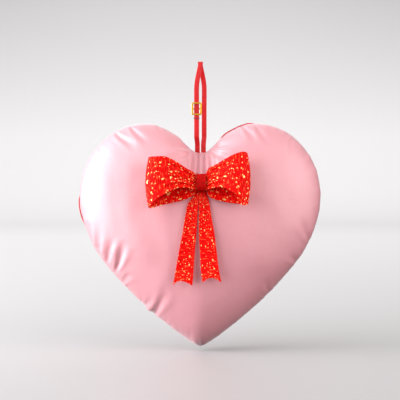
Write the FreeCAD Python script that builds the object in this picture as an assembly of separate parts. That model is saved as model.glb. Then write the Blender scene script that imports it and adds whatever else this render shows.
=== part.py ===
import FreeCAD, Part
import math
import os

from FreeCAD import Vector

# A stuffed satin heart that hangs from a narrow ribbon loop, with a ribbon bow on its front.
# The origin is the centre of the hook seat inside the top of the loop. +Z is up and the front
# faces -Y, so everything hangs below the origin. All lengths are in millimetres.

# Ribbon loop
strap_width = 6.0
strap_thickness = 0.9
hook_radius = 3.0
loop_drop = 101.5           # from the hook seat down to the line where the heart swings
leg_gap = 1.4               # between the two legs where they enter the seam
leg_splay = 2.0             # how far the legs stand wider apart than that at mid height
leg_bow = 7.0               # how far each leg bows to the front or back
straight_top = 26.0         # below the hook seat, where the front leg becomes straight
straight_length = 62.0
upper_bend = (0.52, 0.55, 0.45)     # where each leg bends: share of the splay, bow and drop
root_straight = 4.0         # both legs stand upright this far above the swing line
swing_gap = 0.5             # ribbon end to swing line, on both sides of it
tab_depth = 16.0            # sewn-in ribbon below the swing line
root_stitch_rise = 1.5      # from the ribbon's ends up to the first turn of thread
root_stitch_pitch = 2.0

# Slider buckle
slider_side_room = 1.1      # between the ribbon's edges and the slider's side bars
slider_height = 15.7
slider_bar = 2.0
slider_ring_thickness = 1.4
slider_corner = 2.2
slider_inner_corner = 0.4
slider_edge_round = 0.35
slider_drop = 53.6          # from the hook seat down to the slider's middle
centre_bar_height = 1.8
centre_bar_thickness = 1.2
running_gap = 0.3           # slider and folded end to the ribbon leg
fold_thickness = 0.8
fold_round = 0.76           # outer corners of the ribbon's turn round the centre bar
fold_tail = 17.0            # loose end of the ribbon below the centre bar
fold_stitch_drop = 11.6     # from the slider's middle down to the stitched line
fold_stitch_share = 0.28    # of the ribbon's width, from stitch to stitch
thread_radius = 0.25

# Heart cushion
heart_width = 300.0
heart_height = 241.0        # from the tip up to the cleft
cleft_drop = 4.5            # from the swing line down to the cleft
crown_height = 149.42       # from the tip up to the fullest point
front_depth = 50.0
back_depth = 50.0
panel_thickness = 0.8
piping_radius = 0.9
sewn_gap = 0.15             # between pieces that are sewn together
filling_gap = 0.2
closing_low = 76.0          # the hand-sewn opening, from the tip up to its ends
closing_high = 131.0
closing_count = 110         # stitches that would go round half the edge
slot_room = 1.0             # slot in the filling round the strap's ends
puff_power = 2.5
crown_shares = [0, 0.06, 0.2, 0.38, 0.55, 0.7, 0.82, 0.91, 0.965, 0.99, 1]
edge_count = 40

# Bow
ribbon_width = 62.0
ribbon_thickness = 0.8
bow_drop = 37.0             # from the cleft down to the middle of the knot
bow_tilt = 12.0             # degrees that the bow leans back with the cushion
bow_standoff = 2.8          # back of the knot to the cushion
left_reach = 68.0
right_reach = 59.0
loop_depth = 27.0
loop_back = 5.2             # back of the bow to the middle of each loop's back layer
pinch_margin = 4.5          # the pinched ribbon to the knot's upper and lower edges
pinch_space = 2.0           # between the two pinched layers, middle to middle
knot_length = 11.0
knot_height = 23.0
knot_depth = 13.6
knot_wall = 1.1
tie_pitch = 2.2
tie_radius = 0.3
tie_room = 0.5
tack_radius = 0.5
tack_inset = 0.88           # from the knot's ends in to the stitches that hold it
tack_heights = (1.5, 4.5)
tack_gap = 0.45             # stitches to the folded ribbon between them

# Hanging ends of the bow
tail_width = 24.0
tail_top_width = 5.4
tail_gap = 0.8              # between the two ends under the knot
tail_notch = 5.5
tail_drop = 1.1             # from the knot down to the line where the ends lift
tail_hinge_gap = 0.5        # ribbon edge to that line, on both sides of it
tail_clearance = 2.0        # hanging ends to the cushion's middle line
fold_clearance = 0.7
fold_rise = 15.0            # how far the folded top reaches up behind the knot
left_tail_length = 111.0
left_tail_shoulder = -10.9
left_tail_foot = -24.3
right_tail_length = 107.0
right_tail_shoulder = 2.6
right_tail_foot = 12.0
shoulder_drop = 10.0
shoulder_width = 12.4

UP = Vector(0, 0, 1)
RIGHT = Vector(1, 0, 0)
BACK = Vector(0, 1, 0)
CENTRE = Vector(0, 0, 0)
TINY = 1e-6

swing_z = -loop_drop
cleft_z = swing_z - cleft_drop
tip_z = cleft_z - heart_height
leg_x = (strap_width + leg_gap) / 2
slider_width = strap_width + 2 * (slider_side_room + slider_bar)
seam_gap = strap_thickness + 2 * sewn_gap
panel_inset = 2 * piping_radius + sewn_gap
filling_inset = panel_inset + panel_thickness + filling_gap
root_half_width = strap_width + leg_gap / 2
crown_z = tip_z + crown_height
thread_inset = panel_inset + panel_thickness / 2
closing_low_z = tip_z + closing_low
closing_high_z = tip_z + closing_high


def closed_solid(faces):
    """Sew faces that meet edge to edge into one solid that points outwards."""
    shell = Part.makeShell(faces)
    shell.sewShape()
    if shell.ShapeType != "Shell":
        shell = shell.Shells[0]
    solid = Part.makeSolid(shell)
    if solid.Volume < 0:
        solid.reverse()
    return solid


def spline_surface(rows):
    """A smooth surface through rows of points."""
    surface = Part.BSplineSurface()
    surface.interpolate(rows)
    return surface


def normals_of(rows):
    """The unit normal at each point of a grid, from its neighbours."""
    last_row = len(rows) - 1
    last_column = len(rows[0]) - 1
    normals = []
    for i in range(last_row + 1):
        line = []
        for j in range(last_column + 1):
            along = rows[min(i + 1, last_row)][j] - rows[max(i - 1, 0)][j]
            across = rows[i][min(j + 1, last_column)] - rows[i][max(j - 1, 0)]
            normal = along.cross(across)
            line.append(normal.normalize())
        normals.append(line)
    return normals


def thick_sheet(rows, thickness):
    """A sheet of even thickness whose middle surface passes through rows of points."""
    normals = normals_of(rows)
    sides = []
    for half in (thickness / 2, -thickness / 2):
        moved = []
        for line, line_normals in zip(rows, normals):
            moved.append([p + n * half for p, n in zip(line, line_normals)])
        sides.append(spline_surface(moved))
    faces = [side.toShape() for side in sides]
    u0, u1, v0, v1 = sides[0].bounds()
    for u in (u0, u1):
        edges = [side.uIso(u).toShape() for side in sides]
        faces.append(Part.makeRuledSurface(edges[0], edges[1]))
    for v in (v0, v1):
        edges = [side.vIso(v).toShape() for side in sides]
        faces.append(Part.makeRuledSurface(edges[0], edges[1]))
    return closed_solid(faces)


def mirrored(shape, normal):
    return shape.mirror(CENTRE, normal)


def box(low, high):
    size = high - low
    return Part.makeBox(size.x, size.y, size.z, low)


# ---------------------------------------------------------------- ribbon loop

def ribbon_along(points, end_directions):
    """A flat ribbon whose width stays along X, swept along a smooth line of points."""
    curve = Part.BSplineCurve()
    curve.interpolate(Points=points, InitialTangent=end_directions[0], FinalTangent=end_directions[1])
    sections = []
    steps = 2 * (len(points) - 1)
    for k in range(steps + 1):
        share = k / steps
        u = curve.FirstParameter + share * (curve.LastParameter - curve.FirstParameter)
        along = curve.tangent(u)[0]
        through = along.cross(RIGHT).normalize() * (strap_thickness / 2)
        middle = curve.value(u)
        half = RIGHT * (strap_width / 2)
        corners = [middle - half - through, middle + half - through]
        corners += [middle + half + through, middle - half + through]
        sections.append(Part.makePolygon(corners + corners[:1]))
    return Part.makeLoft(sections, True, False)


def hanging_strap():
    """The bight round the hook seat and its two legs, one length of ribbon."""
    outer = hook_radius + strap_thickness
    start = RIGHT * (-strap_width / 2)
    ring = Part.makeCylinder(outer, strap_width, start, RIGHT)
    ring = ring.cut(Part.makeCylinder(hook_radius, strap_width, start, RIGHT))
    above = box(Vector(-strap_width, -2 * outer, 0), Vector(strap_width, 2 * outer, 2 * outer))
    bight = ring.common(above)

    side = hook_radius + strap_thickness / 2
    mid_x = leg_x + leg_splay / 2
    straight_low = -straight_top - straight_length
    foot = swing_z + swing_gap
    bend_splay, bend_bow, bend_drop = upper_bend
    bend_y = side + (leg_bow - side) * bend_bow
    legs = []
    for facing in (-1, 1):
        hook_end = Vector(0, facing * side, 0)
        top = Vector(facing * mid_x, facing * leg_bow, -straight_top)
        between = Vector(facing * mid_x * bend_splay, facing * bend_y, -straight_top * bend_drop)
        low = Vector(facing * mid_x, facing * leg_bow, straight_low)
        root = Vector(facing * leg_x, 0, swing_z + root_straight)
        upper = ribbon_along([hook_end, between, top], [-UP, -UP])
        straight = ribbon_along([top, low], [-UP, -UP])
        lower = ribbon_along([low, root], [-UP, -UP])
        end = ribbon_along([root, Vector(root.x, 0, foot)], [-UP, -UP])
        legs.append(upper.fuse([straight, lower, end]))
    return bight.fuse(legs).removeSplitter()


def rounded_frame(width, height, bar, corner, y_front, thickness, middle):
    """A flat rectangular ring with rounded corners, facing the front."""
    shapes = []
    for inset in (0, bar):
        half_w = width / 2 - inset
        half_h = height / 2 - inset
        low = Vector(middle.x - half_w, y_front, middle.z - half_h)
        high = Vector(middle.x + half_w, y_front + thickness, middle.z + half_h)
        block = box(low, high)
        through = [e for e in block.Edges if abs(e.BoundBox.YLength - thickness) < TINY]
        shapes.append(block.makeFillet(max(corner - inset, slider_inner_corner), through))
    return shapes[0].cut(shapes[1])


front_leg_x = -(leg_x + leg_splay / 2)
ribbon_front = -leg_bow - strap_thickness / 2
slider_z = -slider_drop
centre_bar_front = ribbon_front + strap_thickness + running_gap + fold_thickness + sewn_gap
centre_bar_back = centre_bar_front + centre_bar_thickness


def strap_slider():
    """A ring in front of the ribbon, and a centre bar that the ring's sides carry behind it."""
    middle = Vector(front_leg_x, 0, slider_z)
    ring_back = ribbon_front - running_gap
    ring_front = ring_back - slider_ring_thickness
    ring = rounded_frame(slider_width, slider_height, slider_bar, slider_corner,
                         ring_front, slider_ring_thickness, middle)
    edges = [e for e in ring.Edges if abs(e.BoundBox.YLength) < TINY]
    ring = ring.makeFillet(slider_edge_round, edges)

    half_w = slider_width / 2
    low_z = slider_z - centre_bar_height / 2
    high_z = slider_z + centre_bar_height / 2
    bar = box(Vector(middle.x - half_w, centre_bar_front, low_z),
              Vector(middle.x + half_w, centre_bar_back, high_z))
    lugs = []
    for low_x in (middle.x - half_w, middle.x + half_w - slider_bar):
        lugs.append(box(Vector(low_x, ring_back - slider_ring_thickness / 2, low_z),
                        Vector(low_x + slider_bar, centre_bar_back, high_z)))
    return ring.fuse([bar] + lugs).removeSplitter()


def strap_end_fold():
    """The ribbon's end, taken round the centre bar and hanging behind the leg."""
    inner_front = centre_bar_front - sewn_gap
    inner_back = centre_bar_back + sewn_gap
    inner_top = slider_z + centre_bar_height / 2 + sewn_gap
    outer_top = inner_top + fold_thickness
    foot = inner_top - fold_tail
    x0 = front_leg_x - strap_width / 2
    x1 = front_leg_x + strap_width / 2
    outer = box(Vector(x0, inner_front - fold_thickness, foot),
                Vector(x1, inner_back + fold_thickness, outer_top))
    fold = outer.cut(box(Vector(x0, inner_front, foot), Vector(x1, inner_back, inner_top)))
    top_edges = [e for e in fold.Edges if abs(e.CenterOfMass.z - outer_top) < TINY]
    bends = [e for e in top_edges if abs(e.BoundBox.XLength - strap_width) < TINY]
    return fold.makeFillet(fold_round, bends)


def strap_end_stitches():
    """A row of stitches that closes the fold below the slider."""
    length = centre_bar_thickness + 2 * sewn_gap
    stitches = []
    for k in (-1, 0, 1):
        x = front_leg_x + k * strap_width * fold_stitch_share
        start = Vector(x, centre_bar_front - sewn_gap, slider_z - fold_stitch_drop)
        stitches.append(Part.makeCylinder(thread_radius, length, start, BACK))
    return Part.makeCompound(stitches)


# -------------------------------------------------------------- heart cushion

# The right half of the edge from the tip to the cleft, as shares of the half width
# and of the height between tip and cleft.
edge_shape = [
    (0, 0), (0.053, 0.0125), (0.193, 0.072), (0.533, 0.253), (0.873, 0.506), (0.997, 0.747),
    (0.933, 0.954), (0.72, 1.104), (0.44, 1.151), (0.22, 1.102), (0.107, 1.039), (0.047, 1.008), (0, 1),
]


def edge_points(inset, count):
    """Even points along the right half of the heart's edge, moved inwards by inset."""
    right = [Vector(a * heart_width / 2, 0, tip_z + b * heart_height) for a, b in edge_shape]
    left = [Vector(-p.x, 0, p.z) for p in right[-2:0:-1]]
    outline = Part.BSplineCurve()
    outline.interpolate(Points=right + left, PeriodicFlag=True)
    half = outline.toShape(outline.FirstParameter, outline.parameter(right[-1]))
    points = []
    for p in half.discretize(count):
        along = outline.tangent(outline.parameter(p))[0]
        points.append(p + along.cross(BACK) * inset)
    points[0].x = 0
    points[-1].x = 0
    return points


def puff(share):
    """Height of the puffed side as a share of its depth, from 1 at the crown to 0 at the edge."""
    return math.sqrt(1 - share ** puff_power)


def crown_surface(inset, depth, seam_y, facing):
    """The right half of one puffed side, from its crown out to the edge."""
    rim = edge_points(inset, edge_count)
    rows = []
    for share in crown_shares:
        y = facing * (seam_y + (depth - seam_y) * puff(share))
        rows.append([Vector(p.x * share, y, crown_z + (p.z - crown_z) * share) for p in rim])
    return spline_surface(rows)


def panel(depth, facing):
    """One satin side of the cushion, a puffed skin of even thickness."""
    outer = crown_surface(panel_inset, depth, seam_gap / 2, facing)
    inner = crown_surface(panel_inset + panel_thickness, depth - panel_thickness, seam_gap / 2, facing)
    last = outer.bounds()[1]
    rim = Part.makeRuledSurface(outer.uIso(last).toShape(), inner.uIso(last).toShape())
    half = [outer.toShape(), inner.toShape(), rim]
    return closed_solid(half + [mirrored(face, RIGHT) for face in half])


def fibre_filling():
    """The fibre inside the panels, with a slot where the strap's ends go in."""
    skin = panel_thickness + filling_gap
    half = []
    for depth, facing in ((front_depth, -1), (back_depth, 1)):
        half.append(crown_surface(panel_inset + skin, depth - skin, 0, facing).toShape())
    whole = closed_solid(half + [mirrored(face, RIGHT) for face in half])
    half_x = root_half_width + slot_room
    half_y = strap_thickness / 2 + slot_room
    slot = box(Vector(-half_x, -half_y, swing_z - tab_depth - sewn_gap), Vector(half_x, half_y, swing_z))
    return whole.cut(slot)


def round_section(middle, normal, radius):
    return Part.Wire([Part.makeCircle(radius, middle, normal)])


def thread_section(middle, normal, radius):
    """A thread's section, twisted yarn pressed flat on its six sides."""
    across = normal.cross(BACK).normalize()
    corners = []
    for k in range(7):
        angle = math.radians(60 * k)
        corners.append(middle + across * (radius * math.cos(angle)) + BACK * (radius * math.sin(angle)))
    return Part.makePolygon(corners)


def edge_cord(inset, radius, section):
    """A cord all along the edge, open at the cleft where the strap goes in."""
    path = Part.BSplineCurve()
    path.interpolate(edge_points(inset, edge_count))
    first = path.value(path.FirstParameter)
    ring = section(first, path.tangent(path.FirstParameter)[0], radius)
    half = Part.Wire([path.toShape()]).makePipeShell([ring], True, False)
    reach = root_half_width + radius
    root = box(Vector(-reach, -reach, cleft_z - reach), Vector(reach, reach, swing_z))
    half = half.cut(root)
    return half.fuse(mirrored(half, RIGHT))


def seam_piping():
    """A thin cord that stands in the seam all round, tucked in beside the strap."""
    return edge_cord(piping_radius, piping_radius, round_section)


def seam_thread():
    """The machine seam inside the edge, open where the cushion was filled."""
    opening = box(Vector(-heart_width, -seam_gap, closing_low_z), Vector(0, seam_gap, closing_high_z))
    return edge_cord(thread_inset, thread_radius, thread_section).cut(opening)


def closing_stitches():
    """Hand stitches across the opening that the cushion was filled through."""
    stitches = []
    for p in edge_points(thread_inset, closing_count):
        if closing_low_z < p.z < closing_high_z:
            start = Vector(-p.x, -seam_gap / 2, p.z)
            stitches.append(Part.makeCylinder(thread_radius, seam_gap, start, BACK))
    return Part.makeCompound(stitches)


def strap_root_tabs():
    """The two ribbon ends that are sewn into the seam at the cleft."""
    tabs = []
    for side in (-1, 1):
        low = Vector(side * leg_x - strap_width / 2, -strap_thickness / 2, swing_z - tab_depth)
        high = Vector(side * leg_x + strap_width / 2, strap_thickness / 2, swing_z - swing_gap)
        tabs.append(box(low, high))
    return Part.makeCompound(tabs)


def thread_turn(middle, half_size, along, radius):
    """One square turn of thread round a bundle that runs along an axis."""
    inner = half_size + along * radius
    outer = inner + (Vector(1, 1, 1) - along) * 2 * radius
    return box(middle - outer, middle + outer).cut(box(middle - inner, middle + inner))


def strap_root_stitches():
    """Turns of thread round both sewn-in ends, inside the cushion."""
    bundle = Vector(root_half_width + sewn_gap, strap_thickness / 2 + sewn_gap, 0)
    turns = []
    for k in range(3):
        z = swing_z - tab_depth + root_stitch_rise + root_stitch_pitch * k + thread_radius
        turns.append(thread_turn(Vector(0, 0, z), bundle, UP, thread_radius))
    return Part.makeCompound(turns)


# ------------------------------------------------------------------------ bow

def front_at(z):
    """How far the front panel stands forward of the seam on the middle line at height z."""
    rim = tip_z + panel_inset if z < crown_z else cleft_z - panel_inset
    share = abs((z - crown_z) / (rim - crown_z))
    return seam_gap / 2 + (front_depth - seam_gap / 2) * puff(share)


bow_z = cleft_z - bow_drop
pinch_height = knot_height - 2 * pinch_margin
bow_y = -front_at(bow_z) - bow_standoff
knot_middle_y = -knot_depth / 2
pinch_back = -knot_middle_y - pinch_space / 2
pinch_front = -knot_middle_y + pinch_space / 2


def on_bow(shape):
    """Place a shape, made upright at the origin with its back at y = 0, on the cushion."""
    placed = shape.copy()
    placed.rotate(CENTRE, RIGHT, -bow_tilt)
    placed.translate(Vector(0, bow_y, bow_z))
    return placed


# One ribbon loop seen from above, from its back layer at the knot, round the fold and back
# again: share of the reach, share of the way from back layer to front layer, and share of the
# width gained past the pinch.
pinch_end = 0.28
loop_plan = [
    (0.02, 0, 0), (0.09, 0, 0), (pinch_end, 0, 0.3), (0.52, 0, 0.74), (0.76, 0.03, 0.95),
    (0.93, 0.14, 1.0), (1.0, 0.42, 1.0), (0.96, 0.78, 1.0), (0.83, 0.98, 0.98), (0.64, 0.98, 0.86),
    (0.45, 0.74, 0.6), (0.27, 0.36, 0.27), (0.09, 0, 0), (0.02, 0, 0),
]


def ribbon_loop(reach, side):
    """One loop of the bow, pinched flat at the knot and full width at its fold."""
    rows = []
    for k, (out, forward, spread) in enumerate(loop_plan):
        if 2 * k > len(loop_plan):
            start = pinch_front
        else:
            start = pinch_back + (loop_back - pinch_back) * min(1, out / pinch_end)
        depth = start + (loop_depth - start) * forward
        width = pinch_height + (ribbon_width - pinch_height) * spread
        rows.append([Vector(side * reach * out, -depth, width * share)
                     for share in (-0.5, -0.25, 0, 0.25, 0.5)])
    return on_bow(thick_sheet(rows, ribbon_thickness))


def oval(half_depth, half_height):
    """An upright oval bar along X through the middle of the knot."""
    ellipse = Part.Ellipse(CENTRE, half_height, half_depth)
    bar = Part.Face(Part.Wire([ellipse.toShape()])).extrude(UP * knot_length)
    bar.rotate(CENTRE, BACK, 90)
    bar.translate(Vector(-knot_length / 2, knot_middle_y, 0))
    return bar


def bow_knot():
    """The ribbon band round the pinched middle."""
    outer = oval(knot_depth / 2, knot_height / 2)
    inner = oval(knot_depth / 2 - knot_wall, knot_height / 2 - knot_wall)
    return on_bow(outer.cut(inner))


def bow_tie_thread():
    """Turns of thread round the pinched layers, under the knot."""
    bundle = Vector(0, (pinch_space + ribbon_thickness) / 2 + tie_room, pinch_height / 2 + tie_room)
    turns = []
    for x in (-tie_pitch, 0, tie_pitch):
        turns.append(thread_turn(Vector(x, knot_middle_y, 0), bundle, RIGHT, tie_radius))
    return on_bow(Part.makeCompound(turns))


tack_x = knot_length / 2 - tack_inset


def bow_tack_stitches(holed):
    """Stitches from the back of the knot into the front panel."""
    stitches = []
    for x in (-tack_x, tack_x):
        for rise in tack_heights:
            start = Vector(x, bow_y + knot_middle_y, bow_z + rise)
            stitch = Part.makeCylinder(tack_radius, knot_depth, start, BACK)
            pieces = stitch.cut(holed).Solids
            pieces.sort(key=lambda piece: abs(piece.CenterOfMass.y - bow_y))
            stitches.append(pieces[0])
    return Part.makeCompound(stitches)


# ------------------------------------------------------- hanging ribbon ends

hinge_z = bow_z - knot_height / 2 - tail_drop

# The course of a hanging end below its shoulder: share of the length, share of the way
# from shoulder to foot, and share of the full width.
tail_plan = [(0.28, 0.28, 0.646), (0.6, 0.6, 0.82), (0.85, 0.87, 0.95), (1, 1, 1)]
tail_columns = (-0.5, -0.3, -0.1, 0.1, 0.3, 0.5)


def lying_y(z, clearance):
    """Middle of a ribbon that lies on the cushion down to its crown and hangs straight below."""
    return -front_at(max(z, crown_z)) - clearance - ribbon_thickness / 2


def hanging_end(side, shoulder_x, foot_x, length):
    """One ribbon end, gathered under the knot and cut to a swallowtail at its foot."""
    top_x = side * (tail_gap + tail_top_width) / 2
    stations = [
        (0, top_x, tail_top_width),
        (shoulder_drop / 2, (top_x + shoulder_x) / 2, (tail_top_width + shoulder_width) / 2),
        (shoulder_drop, shoulder_x, shoulder_width),
    ]
    for down, along, wide in tail_plan:
        stations.append((length * down, shoulder_x + (foot_x - shoulder_x) * along, tail_width * wide))
    top_z = hinge_z - tail_hinge_gap
    rows = []
    for drop, middle_x, width in stations:
        row = []
        for share in tail_columns:
            notch = tail_notch * (1 - 4 * share ** 2) * (drop / length) ** 4
            row.append(Vector(middle_x + share * width, lying_y(top_z - drop, tail_clearance),
                              top_z - drop + notch))
        rows.append(row)
    return thick_sheet(rows, ribbon_thickness)


def bow_tail_fold():
    """The fold that both ends hang from, between the knot and the cushion."""
    half_w = tack_x - tack_radius - tack_gap
    bottom = hinge_z + tail_hinge_gap
    rows = []
    for share in (0, 0.2, 0.4, 0.6, 0.8, 1):
        z = bottom + share * fold_rise
        y = lying_y(z, fold_clearance) - ribbon_thickness / 2
        rows.append([Vector(across * half_w, y, z) for across in (-1, -0.5, 0, 0.5, 1)])
    return thick_sheet(rows, 2 * ribbon_thickness)


parts = {
    "hanging_strap": hanging_strap(),
    "strap_slider": strap_slider(),
    "strap_end_fold": strap_end_fold(),
    "strap_end_stitches": strap_end_stitches(),
    "front_panel": panel(front_depth, -1),
    "back_panel": panel(back_depth, 1),
    "fibre_filling": fibre_filling(),
    "seam_piping": seam_piping(),
    "seam_thread": seam_thread(),
    "closing_stitches": closing_stitches(),
    "strap_root_tabs": strap_root_tabs(),
    "strap_root_stitches": strap_root_stitches(),
    "bow_loop_left": ribbon_loop(left_reach, -1),
    "bow_loop_right": ribbon_loop(right_reach, 1),
    "bow_knot": bow_knot(),
    "bow_tie_thread": bow_tie_thread(),
    "bow_tail_fold": bow_tail_fold(),
    "bow_tail_left": hanging_end(-1, left_tail_shoulder, left_tail_foot, left_tail_length),
    "bow_tail_right": hanging_end(1, right_tail_shoulder, right_tail_foot, right_tail_length),
}
parts["bow_tack_stitches"] = bow_tack_stitches(parts["front_panel"].fuse(parts["bow_knot"]))

os.makedirs("parts", exist_ok=True)
for name, shape in parts.items():
    shape.exportStep("parts/" + name + ".step")
    print(name, shape.isValid(), len(shape.Solids), "solids", round(shape.Volume), "mm3")
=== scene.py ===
import math

import bpy
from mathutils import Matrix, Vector, noise


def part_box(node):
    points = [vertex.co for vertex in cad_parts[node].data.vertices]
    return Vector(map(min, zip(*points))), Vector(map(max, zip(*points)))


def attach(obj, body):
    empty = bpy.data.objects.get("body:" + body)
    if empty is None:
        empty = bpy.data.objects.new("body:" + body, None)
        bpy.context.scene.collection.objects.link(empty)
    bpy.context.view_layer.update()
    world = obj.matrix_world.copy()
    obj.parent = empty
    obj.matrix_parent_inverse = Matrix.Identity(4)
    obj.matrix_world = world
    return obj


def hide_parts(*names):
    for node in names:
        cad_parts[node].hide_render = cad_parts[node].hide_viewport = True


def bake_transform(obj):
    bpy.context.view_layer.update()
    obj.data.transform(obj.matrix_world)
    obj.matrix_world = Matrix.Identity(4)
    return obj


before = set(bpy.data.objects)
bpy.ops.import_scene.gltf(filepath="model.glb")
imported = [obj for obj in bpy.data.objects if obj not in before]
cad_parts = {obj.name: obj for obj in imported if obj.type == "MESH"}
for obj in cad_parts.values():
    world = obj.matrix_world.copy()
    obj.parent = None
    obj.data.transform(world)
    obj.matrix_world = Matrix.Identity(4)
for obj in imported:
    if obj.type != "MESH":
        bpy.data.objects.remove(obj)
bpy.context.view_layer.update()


# Satin cushion. Two heart-shaped panels of pink polyester satin, sewn together at the edge,
# turned and filled with fibre. The flat cut is larger than the finished outline, so the
# cloth gathers along the seam once the fibre pushes it out.

def linear(hex_colour):
    """An sRGB hex colour as linear red, green, blue and alpha."""
    channels = [int(hex_colour[i:i + 2], 16) / 255 for i in (1, 3, 5)]
    return [c / 12.92 if c <= 0.04045 else ((c + 0.055) / 1.055) ** 2.4 for c in channels] + [1]


def add_node(material, kind, settings, links):
    """Add a node to a material, with its settings and the sockets that feed it."""
    node = material.node_tree.nodes.new("ShaderNode" + kind)
    for name, value in settings.items():
        if isinstance(name, int) or name in node.inputs:
            node.inputs[name].default_value = value
        else:
            setattr(node, name, value)
    for name, source in links.items():
        material.node_tree.links.new(node.inputs[name], source)
    return node


def new_material(name, settings):
    """A material whose Principled shader has these settings, and that shader's node."""
    material = bpy.data.materials.new(name)
    material.use_nodes = True
    shader = material.node_tree.nodes["Principled BSDF"]
    for socket, value in settings.items():
        shader.inputs[socket].default_value = value
    return material, shader


def smooth_line(knots, steps, closed):
    """Points along a smooth line through knots, with the given steps from each to the next."""
    if closed:
        ends = [knots[-1]] + knots + knots[:2]
    else:
        ends = [knots[0] * 2 - knots[1]] + knots + [knots[-1] * 2 - knots[-2]]
    line = []
    for a, b, c, d in zip(ends, ends[1:], ends[2:], ends[3:]):
        at_b = (b - a).length ** 0.5
        at_c = at_b + (c - b).length ** 0.5
        at_d = at_c + (d - c).length ** 0.5
        for k in range(steps):
            t = at_b + (at_c - at_b) * k / steps
            ab = a.lerp(b, t / at_b)
            bc = b.lerp(c, (t - at_b) / (at_c - at_b))
            cd = c.lerp(d, (t - at_c) / (at_d - at_c))
            abc = ab.lerp(bc, t / at_c)
            bcd = bc.lerp(cd, (t - at_b) / (at_d - at_b))
            line.append(abc.lerp(bcd, (t - at_b) / (at_c - at_b)))
    return line if closed else line + [knots[-1]]


def spaced_evenly(line, count, closed):
    """The given number of points, evenly spaced along a line."""
    run = line + line[:1] if closed else line
    lengths = [0]
    for p, q in zip(run, run[1:]):
        lengths.append(lengths[-1] + (q - p).length)
    points = []
    at = 0
    for k in range(count):
        target = lengths[-1] * k / (count if closed else count - 1)
        while at < len(run) - 2 and lengths[at + 1] < target:
            at += 1
        share = (target - lengths[at]) / (lengths[at + 1] - lengths[at])
        points.append(run[at].lerp(run[at + 1], min(share, 1)))
    return points


def smoothstep(low, high, value):
    share = min(max((value - low) / (high - low), 0), 1)
    return share * share * (3 - 2 * share)


def piece_named(name):
    """The object that the last operator made, under a new name, with nothing left selected."""
    piece = bpy.context.object
    piece.name = name
    piece.data.name = name
    bpy.ops.object.select_all(action="DESELECT")
    return piece


def apply_modifier(piece, kind, **settings):
    """Add one modifier to a piece and apply it."""
    bpy.ops.object.select_all(action="DESELECT")
    piece.select_set(True)
    bpy.context.view_layer.objects.active = piece
    modifier = piece.modifiers.new(kind.title(), kind)
    for name, value in settings.items():
        setattr(modifier, name, value)
    bpy.ops.object.modifier_apply(modifier=modifier.name)


bpy.ops.object.select_all(action="DESELECT")
piping_low, piping_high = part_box("seam_piping")
cleft_drop = 0.005          # from the lower end of the hanging ribbon to the cleft
cleft_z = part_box("hanging_strap")[0].z - cleft_drop
tip_z = piping_low.z
heart_height = cleft_z - tip_z
half_width = piping_high.x
cloth_room = 0.0012         # left for the cloth to swell past its starting shape
puff_depth = -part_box("front_panel")[0].y - cloth_room
crown = Vector((0, 0, tip_z + 0.62 * heart_height))     # where the cushion is fullest
seam_inset = 0.0013
cloth_ease = 1.075          # flat cut over finished outline
cut_gap = 0.002             # between the middle and each flat panel
cloth_cells = 88
settle_frames = 26
edge_shape = [
    (0, 0), (0.053, 0.0125), (0.193, 0.072), (0.533, 0.253), (0.873, 0.506), (0.997, 0.747),
    (0.933, 0.954), (0.72, 1.104), (0.44, 1.151), (0.22, 1.102), (0.107, 1.039), (0.047, 1.008), (0, 1),
]


def heart_edge(inset, count):
    """Even points round the heart's edge from the tip, right side first, moved inwards."""
    right = [Vector((a * half_width, 0, tip_z + b * heart_height)) for a, b in edge_shape]
    left = [Vector((-p.x, 0, p.z)) for p in right[-2:0:-1]]
    line = spaced_evenly(smooth_line(right + left, 12, True), count, True)
    edge = []
    for k, p in enumerate(line):
        along = (line[(k + 1) % count] - line[k - 1]).normalized()
        edge.append(p + Vector((-along.z, 0, along.x)) * inset)
    return edge


def puffed(share):
    """Depth of the puffed side at a share of the way from its fullest point to the edge."""
    return math.sqrt(max(1 - share ** 2.5, 0))


# Each side starts as a square grid. Its rings become rings round the heart's fullest point,
# and one corner of the square becomes the tip.
edge_samples = 4 * cloth_cells
cloth_edge = heart_edge(seam_inset, edge_samples)
bpy.ops.mesh.primitive_grid_add(x_subdivisions=cloth_cells, y_subdivisions=cloth_cells, size=2)
cushion = piece_named("satin_cushion")
for vertex in cushion.data.vertices:
    across, up = vertex.co.x, vertex.co.y
    ring = max(abs(across), abs(up))
    if ring < 1e-6:
        vertex.co = crown + Vector((0, -puff_depth, 0))
        continue
    a, b = across / ring, up / ring
    if b < -1 + 1e-6:
        turn = (a + 1) / 2
    elif a > 1 - 1e-6:
        turn = 1 + (b + 1) / 2
    elif b > 1 - 1e-6:
        turn = 2 + (1 - a) / 2
    else:
        turn = 3 + (1 - b) / 2
    place = turn / 4 * edge_samples
    first = int(place + 1e-6) % edge_samples
    rim = cloth_edge[first].lerp(cloth_edge[(first + 1) % edge_samples], max(place - int(place + 1e-6), 0))
    share = 0.6 * ring + 0.4 * math.sin(ring * math.pi / 2)
    vertex.co = crown + (rim - crown) * share - Vector((0, puff_depth * puffed(share), 0))

bpy.context.view_layer.objects.active = cushion
cushion.select_set(True)
bpy.ops.object.mode_set(mode="EDIT")
bpy.ops.mesh.select_all(action="SELECT")
bpy.ops.mesh.normals_make_consistent(inside=False)
bpy.ops.object.mode_set(mode="OBJECT")
bpy.ops.object.duplicate()
back_side = piece_named("satin_back")
for vertex in back_side.data.vertices:
    vertex.co.y = -vertex.co.y
back_side.data.flip_normals()
back_side.select_set(True)
cushion.select_set(True)
bpy.context.view_layer.objects.active = cushion
bpy.ops.object.join()
bpy.ops.object.mode_set(mode="EDIT")
bpy.ops.mesh.select_all(action="SELECT")
bpy.ops.mesh.remove_doubles(threshold=1e-6)
bpy.ops.mesh.normals_make_consistent(inside=False)
bpy.ops.object.mode_set(mode="OBJECT")

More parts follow.
